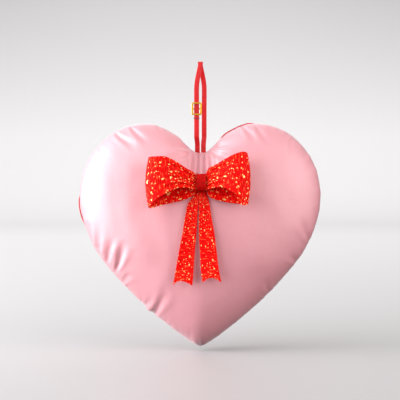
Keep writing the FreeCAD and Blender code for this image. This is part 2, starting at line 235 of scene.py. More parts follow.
seam = cushion.vertex_groups.new(name="seam")
seam.add([v.index for v in cushion.data.vertices if abs(v.co.y) < 1e-7], 1, "ADD")
started = [v.co.copy() for v in cushion.data.vertices]
cushion.shape_key_add(name="start")
cut = cushion.shape_key_add(name="cut")
for vertex, point in zip(cushion.data.vertices, cut.data):
    grown = crown + (vertex.co - crown) * cloth_ease
    side = cut_gap if vertex.co.y > 0 else -cut_gap
    point.co = (grown.x, side if abs(vertex.co.y) > 1e-7 else 0, grown.z)
cut.value = 0
cloth = cushion.modifiers.new("Cloth", "CLOTH")
cloth.settings.quality = 6
cloth.settings.mass = 0.25
cloth.settings.tension_stiffness = 40
cloth.settings.compression_stiffness = 30
cloth.settings.shear_stiffness = 12
cloth.settings.bending_stiffness = 0.25
cloth.settings.use_pressure = True
cloth.settings.uniform_pressure_force = 5
cloth.settings.vertex_group_mass = "seam"
cloth.settings.pin_stiffness = 1
cloth.settings.rest_shape_key = cut
cloth.settings.effector_weights.gravity = 0
cloth.collision_settings.use_collision = False
cloth.point_cache.frame_end = settle_frames + 4
for step in range(1, settle_frames + 1):
    bpy.context.scene.frame_set(step)
shaped = cushion.evaluated_get(bpy.context.evaluated_depsgraph_get())
settled = [shaped.matrix_world @ v.co for v in shaped.data.vertices]
bpy.context.scene.frame_set(1)
cushion.modifiers.remove(cloth)
cushion.shape_key_clear()
for vertex, point in zip(cushion.data.vertices, settled):
    vertex.co = point

# The cloth stays where the fibre can fill it, and nearly flat under the bow.
most_moved = 0.012
deepest_swell = 0.004
swell_under_bow = -0.0002
bow_middle = (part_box("bow_knot")[0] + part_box("bow_knot")[1]) / 2
for vertex, start in zip(cushion.data.vertices, started):
    offset = vertex.co - start
    if offset.length > most_moved:
        offset *= most_moved / offset.length
    point = start + offset
    under_bow = 1 - smoothstep(0.03, 0.075, abs(point.x))
    under_bow *= 1 - smoothstep(0.12, 0.16, abs(point.z - bow_middle.z + 0.045))
    deepest = abs(start.y) + deepest_swell + (swell_under_bow - deepest_swell) * under_bow
    point.y = min(max(point.y, -deepest), deepest)
    vertex.co = point

apply_modifier(cushion, "SMOOTH", factor=0.3, iterations=1)
# Above the tip the fibre rounds the middle line, where the two slopes would meet in a ridge.
ridge = cushion.vertex_groups.new(name="ridge")
for vertex in cushion.data.vertices:
    nearness = 1 - smoothstep(0.015, 0.045, abs(vertex.co.x))
    nearness *= smoothstep(0.004, 0.014, abs(vertex.co.y)) * (1 - smoothstep(-0.275, -0.24, vertex.co.z))
    if nearness > 0:
        ridge.add([vertex.index], nearness, "REPLACE")
apply_modifier(cushion, "SMOOTH", factor=0.5, iterations=14, vertex_group="ridge")
apply_modifier(cushion, "SUBSURF", levels=1, render_levels=1)

# Creases in the satin, front then back: where each starts at the seam and where it runs out,
# in mm from the middle line and below the hook seat, then its half width and depth.
creases = {
    -1: [
        ((-112, -240), (-105, -200), 4.2, 1.4), ((-103, -248), (-91, -208), 4.0, 1.8),
        ((-134, -222), (-140, -176), 3.6, 1.2), ((-123, -232), (-126, -190), 3.6, 0.8),
        ((-57, -306), (-34, -264), 4.4, 1.25), ((-72, -296), (-58, -276), 3.6, 0.4),
        ((-94, -264), (-80, -250), 3.6, 0.6), ((-102, -82), (-76, -104), 3.4, 1.5),
        ((-84, -75), (-60, -98), 3.2, 1.5), ((-12, -102), (-44, -88), 4.6, 2.2),
        ((-12, -106), (-50, -118), 4.5, 2.2), ((10, -100), (48, -92), 4.2, 2.6),
        ((12, -105), (50, -122), 4.5, 2.8), ((50, -74), (66, -96), 3.0, 1.9),
        ((66, -74), (88, -100), 3.2, 1.7), ((112, -92), (100, -110), 3.4, 0.8),
        ((132, -214), (122, -180), 4.4, 1.0), ((118, -244), (108, -226), 4.0, 0.8),
        ((84, -276), (74, -258), 4.0, 0.7),
    ],
    1: [
        ((-104, -246), (-84, -224), 3.6, 2.4), ((-130, -226), (-110, -206), 3.2, 1.8),
        ((-60, -304), (-46, -272), 3.6, 2.4), ((-84, -275), (-66, -258), 3.0, 1.8),
        ((-96, -82), (-80, -104), 3.2, 1.8), ((-60, -74), (-52, -98), 3.0, 1.6),
        ((-10, -102), (-46, -100), 4.4, 2.2), ((-6, -106), (-24, -134), 4.0, 2.0),
        ((10, -102), (46, -98), 4.4, 2.2), ((6, -106), (22, -136), 4.0, 2.0),
        ((64, -74), (58, -98), 3.0, 1.6), ((104, -86), (86, -108), 3.2, 1.8),
        ((132, -222), (112, -206), 3.6, 2.0), ((106, -256), (84, -236), 3.6, 2.2),
        ((72, -288), (58, -266), 3.2, 2.0), ((34, -320), (24, -290), 3.4, 2.0),
        ((144, -156), (120, -158), 3.6, 1.4), ((-144, -152), (-118, -156), 3.6, 1.4),
    ],
}


def crease_depth(x, z, side):
    """How far the creases press in at a point of one side, all in mm."""
    depth = 0
    for (x0, z0), (x1, z1), half_width, most in creases[side]:
        length = math.hypot(x1 - x0, z1 - z0)
        along = ((x - x0) * (x1 - x0) + (z - z0) * (z1 - z0)) / length ** 2
        if not -0.15 < along < 1:
            continue
        off = ((x - x0) * (z1 - z0) - (z - z0) * (x1 - x0)) / length
        off += 1.6 * math.sin(3.1 * along + x0)
        width = half_width * (0.6 + 0.9 * max(along, 0))
        if abs(off) > 4 * width:
            continue
        strength = smoothstep(-0.15, 0.12, along) * (1 - smoothstep(0.35, 1, along))
        valley = math.exp(-(off / width) ** 2)
        ridges = math.exp(-(off / width - 1.7) ** 2) + math.exp(-(off / width + 1.7) ** 2)
        depth += most * strength * (valley - 0.45 * ridges)
    return depth


pleat_pitch = 6.4
pushes = []
for vertex in cushion.data.vertices:
    x, y, z = vertex.co * 1000
    side = -1 if y < 0 else 1
    turn = math.atan2(x, z - crown.z * 1000)
    near_seam = math.exp(-((abs(y) - 7) / 11) ** 2)
    around = Vector((math.sin(turn), math.cos(turn), 0))
    cluster = smoothstep(-0.25, 0.45, noise.noise(around * 2.3 + Vector((0, 0, 4 * side))))
    gather = abs(noise.noise(around * 16 + Vector((0, 0, side + 0.02 * abs(y)))))
    push = near_seam * (0.2 + 0.5 * cluster) * (1.5 - 6 * gather)
    broad = noise.noise(Vector((x / 46, z / 60, 3 * side)))
    broad += 0.5 * noise.noise(Vector((x / 21, z / 30, 5 * side)))
    under_bow = 1 - smoothstep(26, 60, abs(x))
    under_bow *= (1 - smoothstep(120, 150, abs(z + 190))) * (side < 0)
    push += 1.1 * broad * (1 - 0.9 * under_bow) * smoothstep(4, 20, abs(y))
    push += crease_depth(x, z, side) * (1 - 0.7 * under_bow * smoothstep(-112, -122, z))
    below = 1000 * cleft_z - z
    if -10 < below < 50 and abs(x) < 22:
        drawn = smoothstep(-6, 8, below) * (1 - smoothstep(20, 48, below)) * (1 - smoothstep(10, 21, abs(x)))
        push -= 1.7 * drawn * math.cos(2 * math.pi * (x - 1.2) / (pleat_pitch + 0.05 * max(below, 0)))
    pushes.append(vertex.normal * (push / 1000) * smoothstep(0.5, 7, abs(y)))
for vertex, push in zip(cushion.data.vertices, pushes):
    vertex.co -= push
bpy.ops.object.select_all(action="DESELECT")
cushion.select_set(True)
bpy.context.view_layer.objects.active = cushion
bpy.ops.object.shade_smooth()

# Polyester satin: long floats of bright yarn, so it has a broad soft white sheen over the dye.
satin, shader = new_material("pink_polyester_satin", {
    "Roughness": 0.52, "IOR": 1.9, "Sheen Weight": 0.6, "Sheen Roughness": 0.4,
    "Sheen Tint": linear("#FFF4F7"), "Coat Weight": 0.45, "Coat IOR": 1.8, "Coat Roughness": 0.6,
})
place = add_node(satin, "TexCoord", {}, {}).outputs["Object"]
# Broad, faint shifts of the dye, about 60 mm across.
shift = add_node(satin, "TexNoise", {"Scale": 16, "Detail": 2}, {"Vector": place}).outputs["Fac"]
dye = add_node(satin, "Mix", {"data_type": "RGBA", 6: linear("#DD8E98"), 7: linear("#E69CA5")},
               {"Factor": shift}).outputs[2]
satin.node_tree.links.new(shader.inputs["Base Color"], dye)
# Soft puckers 9 mm across, and a satin weave drawn at 0.9 mm so that it shows.
pucker = add_node(satin, "TexNoise", {"Scale": 110, "Detail": 2}, {"Vector": place}).outputs["Fac"]
weave = add_node(satin, "TexWave", {"Scale": 350, "Distortion": 0.4, "bands_direction": "DIAGONAL"},
                 {"Vector": place}).outputs["Fac"]
soft = add_node(satin, "Bump", {"Strength": 0.25, "Distance": 0.0012}, {"Height": pucker}).outputs["Normal"]
fine = add_node(satin, "Bump", {"Strength": 0.12, "Distance": 0.00012},
                {"Height": weave, "Normal": soft}).outputs["Normal"]
satin.node_tree.links.new(shader.inputs["Normal"], fine)
cushion.data.materials.append(satin)
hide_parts("front_panel", "back_panel", "fibre_filling", "seam_thread")
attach(cushion, "heart")


# Seam piping. A thin two-ply rayon cord in red, laid between the panels and sewn in. Most of
# it has sunk between the puffed panels, and it stands out at two stretches of the edge.
cord_points = 1300
strand_radius = 0.00052
strand_offset = 0.00042
twist_pitch = 0.0046
sunk_inset = 0.0040
raised_inset = 0.0008
root_room = 0.0088          # half width that the strap's ends take at the cleft

edge = heart_edge(0, cord_points)
strands = []
for ply in (0, 1):
    run = []
    travelled = 0
    for k, p in enumerate(edge):
        along = (edge[(k + 1) % cord_points] - edge[k - 1]).normalized()
        inward = Vector((-along.z, 0, along.x))
        travelled += (p - edge[k - 1]).length
        upper_right = smoothstep(0.012, 0.03, p.x) * (1 - smoothstep(0.055, 0.075, p.x)) * (p.z > cleft_z)
        left_side = (1 - smoothstep(-0.148, -0.140, p.x)) * smoothstep(-0.245, -0.225, p.z)
        left_side *= 1 - smoothstep(-0.17, -0.15, p.z)
        inset = sunk_inset + (raised_inset - sunk_inset) * max(upper_right, left_side)
        angle = 2 * math.pi * travelled / twist_pitch + math.pi * ply
        middle = p + inward * inset
        swing = inward * math.cos(angle) + Vector((0, 1, 0)) * math.sin(angle)
        run.append(middle + swing * strand_offset)
    at_root = [abs(p.x) < root_room and p.z > cleft_z - 0.004 for p in run]
    start = at_root.index(True)
    turned = list(zip(run, at_root))[start:] + list(zip(run, at_root))[:start]
    strands.append([p for p, inside in turned if not inside])

plies = []
for run in strands:
    line = bpy.data.curves.new("ply", "CURVE")
    line.dimensions = "3D"
    spline = line.splines.new("POLY")
    spline.points.add(len(run) - 1)
    for point, p in zip(spline.points, run):
        point.co = (p.x, p.y, p.z, 1)
    line.bevel_depth = strand_radius
    line.bevel_resolution = 1
    line.use_fill_caps = True
    ply = bpy.data.objects.new("ply", line)
    bpy.context.scene.collection.objects.link(ply)
    plies.append(ply)
bpy.ops.object.select_all(action="DESELECT")
for ply in plies:
    ply.select_set(True)
bpy.context.view_layer.objects.active = plies[0]
bpy.ops.object.convert(target="MESH")
bpy.ops.object.join()
piping = piece_named("twisted_piping")
piping.select_set(True)
bpy.ops.object.shade_smooth()
# Rayon cord: a soft gloss that breaks up on its two plies.
rayon, shader = new_material("twisted_rayon_cord", {"Roughness": 0.4, "Sheen Weight": 0.2})
place = add_node(rayon, "TexCoord", {}, {}).outputs["Object"]
# Fibres drawn 0.5 mm apart.
fibres = add_node(rayon, "TexNoise", {"Scale": 2000, "Detail": 1}, {"Vector": place}).outputs["Fac"]
dye = add_node(rayon, "Mix", {"data_type": "RGBA", 6: linear("#B01626"), 7: linear("#E0404C")},
               {"Factor": fibres}).outputs[2]
rayon.node_tree.links.new(shader.inputs["Base Color"], dye)
bump = add_node(rayon, "Bump", {"Strength": 0.3, "Distance": 0.0001}, {"Height": fibres}).outputs["Normal"]
rayon.node_tree.links.new(shader.inputs["Normal"], bump)
piping.data.materials.append(rayon)
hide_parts("seam_piping")
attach(piping, "heart")


# Hanging ribbon. One length of narrow double-faced satin ribbon, 6 mm wide, that goes up in
# front, over the hook seat and down behind, with both ends sewn into the seam at the cleft.
def lay_ribbon(name, width_cells, length_cells, thickness, flat_size, placed):
    """A strip of ribbon whose place at (across, along) placed gives, with its size in its UVs."""
    bpy.ops.mesh.primitive_grid_add(x_subdivisions=width_cells, y_subdivisions=length_cells, size=1)
    strip = piece_named(name)
    for vertex in strip.data.vertices:
        vertex.co = placed(vertex.co.x + 0.5, vertex.co.y + 0.5)
    for corner in strip.data.uv_layers[0].data:
        corner.uv = (corner.uv.x * flat_size[0], corner.uv.y * flat_size[1])
    apply_modifier(strip, "SOLIDIFY", thickness=thickness, offset=0)
    apply_modifier(strip, "BEVEL", width=thickness * 0.3, segments=2, limit_method="ANGLE")
    bpy.ops.object.shade_smooth_by_angle(angle=math.radians(50))
    return strip


strap_low, strap_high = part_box("hanging_strap")
strap_width = 0.006
strap_thickness = 0.0009
hook_radius = strap_high.z - strap_thickness
leg_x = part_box("strap_root_tabs")[1].x - strap_width / 2
leg_mid_x = strap_high.x - strap_width / 2
leg_y = strap_high.y - strap_thickness / 2
swing_z = strap_low.z - 0.0005
seat = hook_radius + strap_thickness / 2
front_leg = [
    Vector((-leg_x, 0, swing_z - 0.012)), Vector((-leg_x, 0, swing_z)),
    Vector((-leg_x, -0.0002, swing_z + 0.0045)), Vector((-leg_x - 0.0005, -leg_y * 0.55, swing_z + 0.0095)),
    Vector((-leg_mid_x, -leg_y, -0.0878)), Vector((-leg_mid_x, -leg_y, -0.0862)),
    Vector((-leg_mid_x, -leg_y, -0.0846)), Vector((-leg_mid_x, -leg_y, -0.07)),
    Vector((-leg_mid_x, -leg_y, -0.05)), Vector((-leg_mid_x, -leg_y, -0.027)),
    Vector((-leg_mid_x * 0.8, -leg_y * 0.93, -0.0185)), Vector((-leg_mid_x * 0.52, -0.0054, -0.0117)),
    Vector((-leg_mid_x * 0.2, -0.0041, -0.005)),
]
bight = []
for degrees in (180, 150, 120, 90, 60, 30, 0):
    turn = math.radians(degrees)
    bight.append(Vector((0, seat * math.cos(turn), seat * math.sin(turn))))
back_leg = [Vector((-p.x, -p.y, p.z)) for p in reversed(front_leg)]
strap_line = spaced_evenly(smooth_line(front_leg + bight + back_leg, 10, False), 241, False)


def on_strap(across, along):
    place = along * (len(strap_line) - 1)
    first = min(int(place), len(strap_line) - 2)
    middle = strap_line[first].lerp(strap_line[first + 1], place - first)
    crown_of_ribbon = 0.00018 * (1 - (2 * across - 1) ** 2)
    outwards = math.copysign(1, middle.y) if abs(middle.y) > 1e-5 else 0
    return middle + Vector(((across - 0.5) * strap_width, crown_of_ribbon * outwards, 0))


strap_length = sum((q - p).length for p, q in zip(strap_line, strap_line[1:]))
strap = lay_ribbon("satin_hanging_ribbon", 9, 241, strap_thickness * 0.8, (strap_width, strap_length),
                   on_strap)


def ribbon_satin(name, dark, light, rib_pitch, gloss):
    """Woven ribbon with ribs across it. Its UVs are in metres."""
    material, shader = new_material(name, {"Roughness": gloss, "Specular IOR Level": 0.5, "Anisotropic": 0.4,
                                           "Sheen Weight": 0.06, "Sheen Tint": linear("#FFB0A8")})
    uv = add_node(material, "TexCoord", {}, {}).outputs["UV"]
    ribs = add_node(material, "TexWave", {"Scale": 1 / rib_pitch / math.tau * 2, "bands_direction": "Y"},
                    {"Vector": uv}).outputs["Fac"]
    blotch = add_node(material, "TexNoise", {"Scale": 220, "Detail": 2}, {"Vector": uv}).outputs["Fac"]
    dye = add_node(material, "Mix", {"data_type": "RGBA", 6: linear(dark), 7: linear(light)},
                   {"Factor": blotch}).outputs[2]
    material.node_tree.links.new(shader.inputs["Base Color"], dye)
    bump = add_node(material, "Bump", {"Strength": 0.35, "Distance": 0.00015},
                    {"Height": ribs}).outputs["Normal"]
    material.node_tree.links.new(shader.inputs["Normal"], bump)
    return material


strap.data.materials.append(ribbon_satin("narrow_satin_ribbon", "#B40610", "#E01019", 0.0009, 0.4))
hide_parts("hanging_strap", "strap_root_tabs")
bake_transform(strap)


# Slider buckle. A small cast zinc ring with a centre bar, brass plated and polished. The free
# end of the ribbon is folded round the centre bar, and thread binds it to the front leg.
# Brass plate over a cast: yellow, bright, with fine scuffs that soften its reflections.
brass, shader = new_material("polished_brass_plate", {"Metallic": 0.85, "Roughness": 0.3})
place = add_node(brass, "TexCoord", {}, {}).outputs["Object"]
tarnish = add_node(brass, "TexNoise", {"Scale": 420, "Detail": 3}, {"Vector": place}).outputs["Fac"]
tint = add_node(brass, "Mix", {"data_type": "RGBA", 6: linear("#F2A81C"), 7: linear("#FFD24A")},
                {"Factor": tarnish}).outputs[2]
brass.node_tree.links.new(shader.inputs["Base Color"], tint)
scuff = add_node(brass, "Bump", {"Strength": 0.15, "Distance": 0.0001}, {"Height": tarnish}).outputs["Normal"]
brass.node_tree.links.new(shader.inputs["Normal"], scuff)
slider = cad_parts["strap_slider"]
slider.data.materials.clear()
slider.data.materials.append(brass)

fold_low, fold_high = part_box("strap_end_fold")
fold_thickness = 0.0008
fold_x = (fold_low.x + fold_high.x) / 2
front_y = fold_low.y + fold_thickness / 2
back_y = fold_high.y - fold_thickness / 2
round_bar = (back_y - front_y) / 2
fold_knots = [Vector((0, front_y, fold_low.z)), Vector((0, front_y - 0.0001, fold_low.z + 0.005)),
              Vector((0, front_y, fold_high.z - fold_thickness / 2 - round_bar))]
for degrees in (150, 120, 90, 60, 30):
    turn = math.radians(degrees)
    fold_knots.append(Vector((0, (front_y + back_y) / 2 + round_bar * math.cos(turn),
                              fold_high.z - fold_thickness / 2 - round_bar * (1 - math.sin(turn)))))
fold_knots += [Vector((0, back_y, fold_high.z - fold_thickness / 2 - round_bar)),
               Vector((0, back_y + 0.0002, fold_low.z + 0.006)), Vector((0, back_y - 0.0002, fold_low.z))]
fold_line = spaced_evenly(smooth_line(fold_knots, 8, False), 61, False)


def on_fold(across, along):
    place = along * (len(fold_line) - 1)
    first = min(int(place), len(fold_line) - 2)
    middle = fold_line[first].lerp(fold_line[first + 1], place - first)
    return middle + Vector((fold_x + (across - 0.5) * strap_width, 0, 0))


fold = lay_ribbon("satin_end_fold", 7, 61, fold_thickness, (strap_width, 0.036), on_fold)
fold.data.materials.append(bpy.data.materials["narrow_satin_ribbon"])
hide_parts("strap_end_fold")
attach(fold, "slider")

thread_low, thread_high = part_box("strap_end_stitches")
keeper_z = (thread_low.z + thread_high.z) / 2
thread_radius = 0.00028
turns = []
for lift in (-0.0005, 0, 0.0005):
    bpy.ops.mesh.primitive_torus_add(major_radius=0.001, minor_radius=thread_radius, major_segments=48,
                                     minor_segments=8)
    turn = piece_named("turn")
    half_x = strap_width / 2 + thread_radius
    front = -leg_y - strap_thickness / 2 - thread_radius - 0.0001
    rear = fold_high.y + thread_radius + 0.0001
    for vertex in turn.data.vertices:
        around = Vector((vertex.co.x, vertex.co.y))
        out = around.normalized()
        square = max(abs(out.x), abs(out.y))
        core = out / square
        thick = around.length - 0.001
        vertex.co = (fold_x + core.x * half_x + out.x * thick,
                     (front + rear) / 2 + core.y * (rear - front) / 2 + out.y * thick,
                     keeper_z + lift + vertex.co.z)
    turns.append(turn)
for turn in turns:
    turn.select_set(True)
bpy.context.view_layer.objects.active = turns[0]
bpy.ops.object.join()
keeper = piece_named("thread_keeper")
keeper.select_set(True)
bpy.ops.object.shade_smooth()


def spun_thread(name, dark, light):
    """Spun polyester thread: matt, with a little fuzz and a twist 0.3 mm long."""
    material, shader = new_material(name, {"Roughness": 0.6, "Sheen Weight": 0.3})
    place = add_node(material, "TexCoord", {}, {}).outputs["Object"]
    spin = add_node(material, "TexNoise", {"Scale": 3000, "Detail": 1}, {"Vector": place}).outputs["Fac"]
    dye = add_node(material, "Mix", {"data_type": "RGBA", 6: linear(dark), 7: linear(light)},
                   {"Factor": spin}).outputs[2]
    material.node_tree.links.new(shader.inputs["Base Color"], dye)
    return material


thread = spun_thread("spun_polyester_thread", "#6E0810", "#A01822")
keeper.data.materials.append(thread)
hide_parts("strap_end_stitches")
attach(keeper, "slider")
for name in ("strap_root_stitches", "bow_tie_thread"):
    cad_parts[name].data.materials.clear()
    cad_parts[name].data.materials.append(thread)

# The cushion's own stitches are of the same thread, in the pink of its panels.
pink_thread = spun_thread("pink_polyester_thread", "#D98E98", "#F0B4BC")
for name in ("closing_stitches", "bow_tack_stitches"):
    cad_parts[name].data.materials.clear()
    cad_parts[name].data.materials.append(pink_thread)


# Bow. Wide woven ribbon, red with ribs across it and gold foil dots printed on. It is laid in
# two loops, drawn together with thread at the middle, and a band of the same ribbon covers that.
tilt = math.radians(12)
ribbon_thickness = 0.0006
bow_z = -0.143
bow_y = -0.04504
knot_y = 0.0068             # middle of the knot in front of the bow's back


def on_bow(x, forward, up):
    """A point of the upright bow, placed on the cushion, where the bow leans back."""
    y, z = -forward, up
    return Vector((x, bow_y + y * math.cos(tilt) + z * math.sin(tilt),
                   bow_z - y * math.sin(tilt) + z * math.cos(tilt)))


def printed_ribbon(name, dark, light, streak, dots):
    """Ribbed ribbon with foil dots, in metres of its UVs: across the ribbon first."""
    material, shader = new_material(name, {"Specular IOR Level": 0.1})
    uv = add_node(material, "TexCoord", {}, {}).outputs["UV"]
    # Ribs 1.1 mm apart run across the ribbon, and loose floats of thread show as streaks on them.
    streak_place = add_node(material, "Mapping", {"Scale": (110, 1000, 1)}, {"Vector": uv}).outputs["Vector"]
    streaks = add_node(material, "TexNoise", {"Scale": 1, "Detail": 1},
                       {"Vector": streak_place}).outputs["Fac"]
    ribs = add_node(material, "TexWave", {"Scale": 145, "bands_direction": "Y", "Distortion": 0.6},
                    {"Vector": uv}).outputs["Fac"]
    tone = add_node(material, "MapRange", {1: 0.3, 2: 0.6}, {"Value": streaks}).outputs[0]
    red = add_node(material, "Mix", {"data_type": "RGBA", 6: linear(dark), 7: linear(light)},
                   {"Factor": tone}).outputs[2]
    float_mask = add_node(material, "MapRange", {1: 0.615, 2: 0.66}, {"Value": streaks}).outputs[0]
    colour = add_node(material, "Mix", {"data_type": "RGBA", 7: linear(streak)},
                      {"Factor": float_mask, 6: red}).outputs[2]
    foil = None
    for pitch, size, share, stretch in dots:
        spread = add_node(material, "Mapping", {"Scale": (stretch / pitch, 1 / pitch, 1)},
                          {"Vector": uv}).outputs["Vector"]
        cells = add_node(material, "TexVoronoi", {"voronoi_dimensions": "2D", "Scale": 1, "Randomness": 0.75},
                         {"Vector": spread})
        pick = add_node(material, "SeparateColor", {}, {"Color": cells.outputs["Color"]})
        there = add_node(material, "Math", {"operation": "LESS_THAN", 1: share},
                         {0: pick.outputs["Red"]}).outputs[0]
        reach = add_node(material, "MapRange", {1: 0, 2: 1, 3: size * 0.5 / pitch, 4: size / pitch},
                         {"Value": pick.outputs["Green"]}).outputs[0]
        part = add_node(material, "Math", {"operation": "DIVIDE"},
                        {0: cells.outputs["Distance"], 1: reach}).outputs[0]
        inside = add_node(material, "MapRange", {1: 0.8, 2: 1.0, 3: 1, 4: 0}, {"Value": part}).outputs[0]
        dot = add_node(material, "Math", {"operation": "MULTIPLY"}, {0: inside, 1: there}).outputs[0]
        # Gold foil print, with a pale near-white painted highlight in each dot's middle that fades to orange
        # at its rim.
        gold_with_painted_glint = add_node(material, "Mix", {"data_type": "RGBA", 6: linear("#FFF6B4"), 7: linear("#F09A30")},
                        {"Factor": part}).outputs[2]
        colour = add_node(material, "Mix", {"data_type": "RGBA"},
                          {"Factor": dot, 6: colour, 7: gold_with_painted_glint}).outputs[2]
        if foil is None:
            foil = dot
        else:
            foil = add_node(material, "Math", {"operation": "MAXIMUM"}, {0: foil, 1: dot}).outputs[0]
    material.node_tree.links.new(shader.inputs["Base Color"], colour)
    metal = add_node(material, "Math", {"operation": "MULTIPLY", 1: 0.3}, {0: foil}).outputs[0]
    material.node_tree.links.new(shader.inputs["Metallic"], metal)
    gloss = add_node(material, "MapRange", {3: 0.62, 4: 0.3}, {"Value": foil}).outputs[0]
    material.node_tree.links.new(shader.inputs["Roughness"], gloss)
    bump = add_node(material, "Bump", {"Strength": 0.5, "Distance": 0.0002},
                    {"Height": ribs}).outputs["Normal"]
    material.node_tree.links.new(shader.inputs["Normal"], bump)
    return material


# Dots: pitch of their places, largest radius, share of the places that have one, and how much
# longer they are across the ribbon.
loop_print = printed_ribbon("foil_dot_ribbon_loops", "#BE0000", "#FA0402", "#FF5C30",
                            [(0.0088, 0.0015, 0.62, 0.72), (0.0045, 0.0008, 0.55, 0.6)])
tail_print = printed_ribbon("foil_dot_ribbon_tails", "#C80000", "#FC0402", "#FF4C28",
                            [(0.0078, 0.0012, 0.75, 0.95), (0.0038, 0.0006, 0.5, 0.95)])

# A loop from its back layer at the knot, round the fold and back to the knot: share of the
# reach, depth in front of the bow's back, upper edge and lower edge.
left_loop = [
    (0.01, 0.0056, 0.0070, -0.0070), (0.08, 0.0054, 0.0076, -0.0085), (0.16, 0.0052, 0.0090, -0.0160),
    (0.30, 0.0052, 0.0120, -0.0205), (0.55, 0.0052, 0.0195, -0.0245), (0.78, 0.0062, 0.0250, -0.0282),
    (0.93, 0.0090, 0.0275, -0.0310), (1.00, 0.0150, 0.0280, -0.0310), (0.97, 0.0225, 0.0282, -0.0290),
    (0.84, 0.0262, 0.0280, -0.0235), (0.65, 0.0262, 0.0278, -0.0165), (0.46, 0.0222, 0.0228, -0.0100),
    (0.28, 0.0155, 0.0160, -0.0075), (0.15, 0.0105, 0.0122, -0.0090), (0.08, 0.0084, 0.0088, -0.0085),
    (0.01, 0.0080, 0.0080, -0.0070),
]
right_loop = [
    (0.01, 0.0056, 0.0070, -0.0070), (0.09, 0.0054, 0.0080, -0.0085), (0.17, 0.0052, 0.0110, -0.0170),
    (0.30, 0.0052, 0.0150, -0.0205), (0.55, 0.0052, 0.0235, -0.0238), (0.78, 0.0062, 0.0300, -0.0258),
    (0.93, 0.0090, 0.0325, -0.0275), (1.00, 0.0150, 0.0330, -0.0275), (0.97, 0.0225, 0.0335, -0.0262),
    (0.84, 0.0262, 0.0335, -0.0215), (0.65, 0.0262, 0.0300, -0.0150), (0.46, 0.0222, 0.0245, -0.0088),
    (0.28, 0.0155, 0.0195, -0.0074), (0.16, 0.0110, 0.0165, -0.0085), (0.09, 0.0088, 0.0098, -0.0090),
    (0.01, 0.0082, 0.0085, -0.0075),
]


def make_loop(name, plan, reach, side, node):
    knots = [Vector((out * reach, depth, top, low)) for out, depth, top, low in plan]
    course = smooth_line(knots, 12, False)

    def on_loop(across, along):
        place = along * (len(course) - 1)
        first = min(int(place), len(course) - 2)
        out, depth, top, low = course[first].lerp(course[first + 1], place - first)
        share = out / reach
        up = low + (top - low) * across
        edge_pull = (2 * across - 1) ** 2
        out *= 1 - 0.055 * edge_pull * smoothstep(0.75, 1, share)
        gather = smoothstep(0.07, 0.2, share) * (1 - smoothstep(0.3, 0.85, share))
        wave = math.sin(2 * math.pi * 4.5 * across + 0.8) + 0.5 * math.sin(2 * math.pi * 8 * across + 2)
        depth += 0.0011 * gather * wave
        depth += 0.0009 * smoothstep(0.4, 0.9, share) * math.sin(2 * math.pi * 1.2 * across + 6 * along)
        return on_bow(side * out, depth, up)

    length = sum((Vector(q[:2]) - Vector(p[:2])).length for p, q in zip(course, course[1:]))
    loop = lay_ribbon(name, 44, 150, ribbon_thickness, (0.062, length), on_loop)
    loop.data.materials.append(loop_print)
    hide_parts(node)
    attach(loop, "heart")


make_loop("printed_loop_left", left_loop, 0.0655, -1, "bow_loop_left")
make_loop("printed_loop_right", right_loop, 0.0577, 1, "bow_loop_right")

# Knot band: a gathered strip that goes once round the middle and is sewn behind. Its darker red is painted
# shade.
knot_half_length = 0.0055


def on_knot(across, along):
    turn = 2 * math.pi * along
    pleat = 0.0003 * math.cos(2 * math.pi * 1.7 * across + 0.6 * math.sin(turn))
    pleat *= 1 + 0.5 * math.sin(turn + 1)
    waist = 1 - 0.1 * math.sin(math.pi * across)
    half_depth = 0.0062 * waist + pleat
    half_height = 0.0109 * waist + pleat
    return on_bow((across - 0.5) * 2 * knot_half_length, knot_y - half_depth * math.cos(turn),
                  half_height * math.sin(turn))


band = lay_ribbon("printed_knot_band", 24, 64, 0.0009, (0.018, 0.058), on_knot)
# Same ribbon as the loops, with darker reds: painted shade for the recess between the loops.
band.data.materials.append(printed_ribbon("foil_dot_ribbon_knot_painted_shade", "#960000", "#C80000", "#D00404",
                                          [(0.009, 0.0007, 0.25, 0.8)]))
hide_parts("bow_knot")
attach(band, "heart")


# Hanging ends. The same ribbon, folded behind the knot, with both ends hanging over the cushion
# and cut to a swallowtail. Each can be lifted from the knot on its own.
hinge_z = -0.1556


def lying_y(z):
    """Middle of a ribbon that lies over the front panel and hangs straight below its fullest point."""
    if z < crown.z:
        return -0.0524
    share = (z - crown.z) / (cleft_z - 0.00195 - crown.z)
    return -(0.0006 + 0.0494 * puffed(min(share, 1))) - 0.0024


# Each end from the knot down: its middle across, distance along and width.
tail_plans = {
    "left": [(-0.0031, 0, 0.0056), (-0.0061, 0.0077, 0.0070), (-0.0092, 0.0149, 0.0121),
             (-0.0121, 0.0328, 0.0146), (-0.0139, 0.0508, 0.0167), (-0.0173, 0.0747, 0.0192),
             (-0.0202, 0.0986, 0.0217), (-0.0221, 0.113, 0.0230)],
    "right": [(0.0029, 0, 0.0056), (0.0027, 0.0077, 0.0104), (0.0036, 0.0149, 0.0126),
              (0.0048, 0.0328, 0.0151), (0.0065, 0.0508, 0.0184), (0.0086, 0.0747, 0.0200),
              (0.0109, 0.0986, 0.0218), (0.0129, 0.1093, 0.0222)],
}


